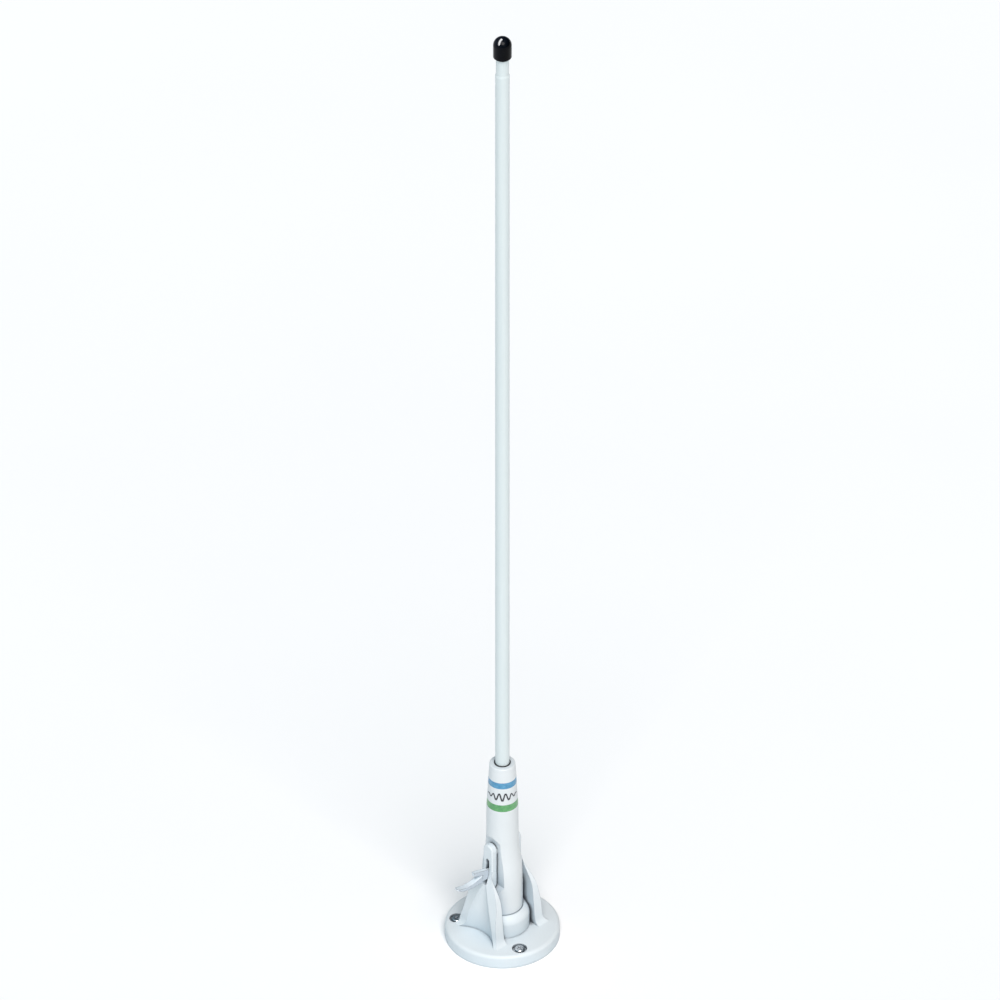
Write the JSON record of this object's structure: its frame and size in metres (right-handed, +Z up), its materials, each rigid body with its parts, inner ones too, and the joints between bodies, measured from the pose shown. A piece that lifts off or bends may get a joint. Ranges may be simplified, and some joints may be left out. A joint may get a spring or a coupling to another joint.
{
  "type": "omnidirectional antenna",
  "caption": "White whip antenna with a black tip cap, on a round deck mount with two flared cheeks, a cross axle and a cam lever that lets the mast fold down.",
  "frame": {"origin": "centre of the deck screw circle, on the flange's underside", "axes": "+Z up along the upright mast, X along the pivot axle with the lever on -X, -Y the way the mast folds"},
  "size_m": [0.1068, 0.1016, 1.0106],
  "materials": {
    "white_nylon": "satin",
    "white_gloss": "gloss",
    "black_cap": "gloss",
    "blue_ring": "gloss",
    "green_ring": "gloss",
    "lever_paint": "satin",
    "steel": "satin",
    "brass": "satin",
    "rubber": "matte",
    "bearing_plastic": "matte"
  },
  "bodies": {
    "base": {"base_mount": "white_nylon", "deck_screws": "steel", "screw_washers": "steel", "socket_liner": "rubber", "pivot_axle": "steel", "axle_washer": "steel", "lever_pin": "steel"},
    "mast": {"ferrule": "white_gloss", "axle_bush": "bearing_plastic", "thrust_washers": "bearing_plastic", "friction_pad": "rubber", "blue_band": "blue_ring", "green_band": "green_ring", "seal_ring": "rubber", "whip_tube": "white_gloss", "tip_cap": "black_cap", "radiator": "brass", "element_spacers": "bearing_plastic", "coil_former": "bearing_plastic", "loading_coil": "brass", "feed_insert": "brass", "ground_sleeve": "brass", "ferrule_plug": "bearing_plastic", "cable_grommet": "rubber"},
    "lever": {"clamp_lever": "lever_paint"}
  },
  "joints": [
    {"name": "mast_lay_down", "type": "hinge", "parent": "base", "child": "mast", "pos_m": [0, 0, 0.1005], "axis": [1, 0, 0], "range_deg": [0, 90]},
    {"name": "lever_lift", "type": "hinge", "parent": "base", "child": "lever", "pos_m": [-0.015, 0, 0.0775], "axis": [0, 1, 0], "range_deg": [0, 35]}
  ]
}
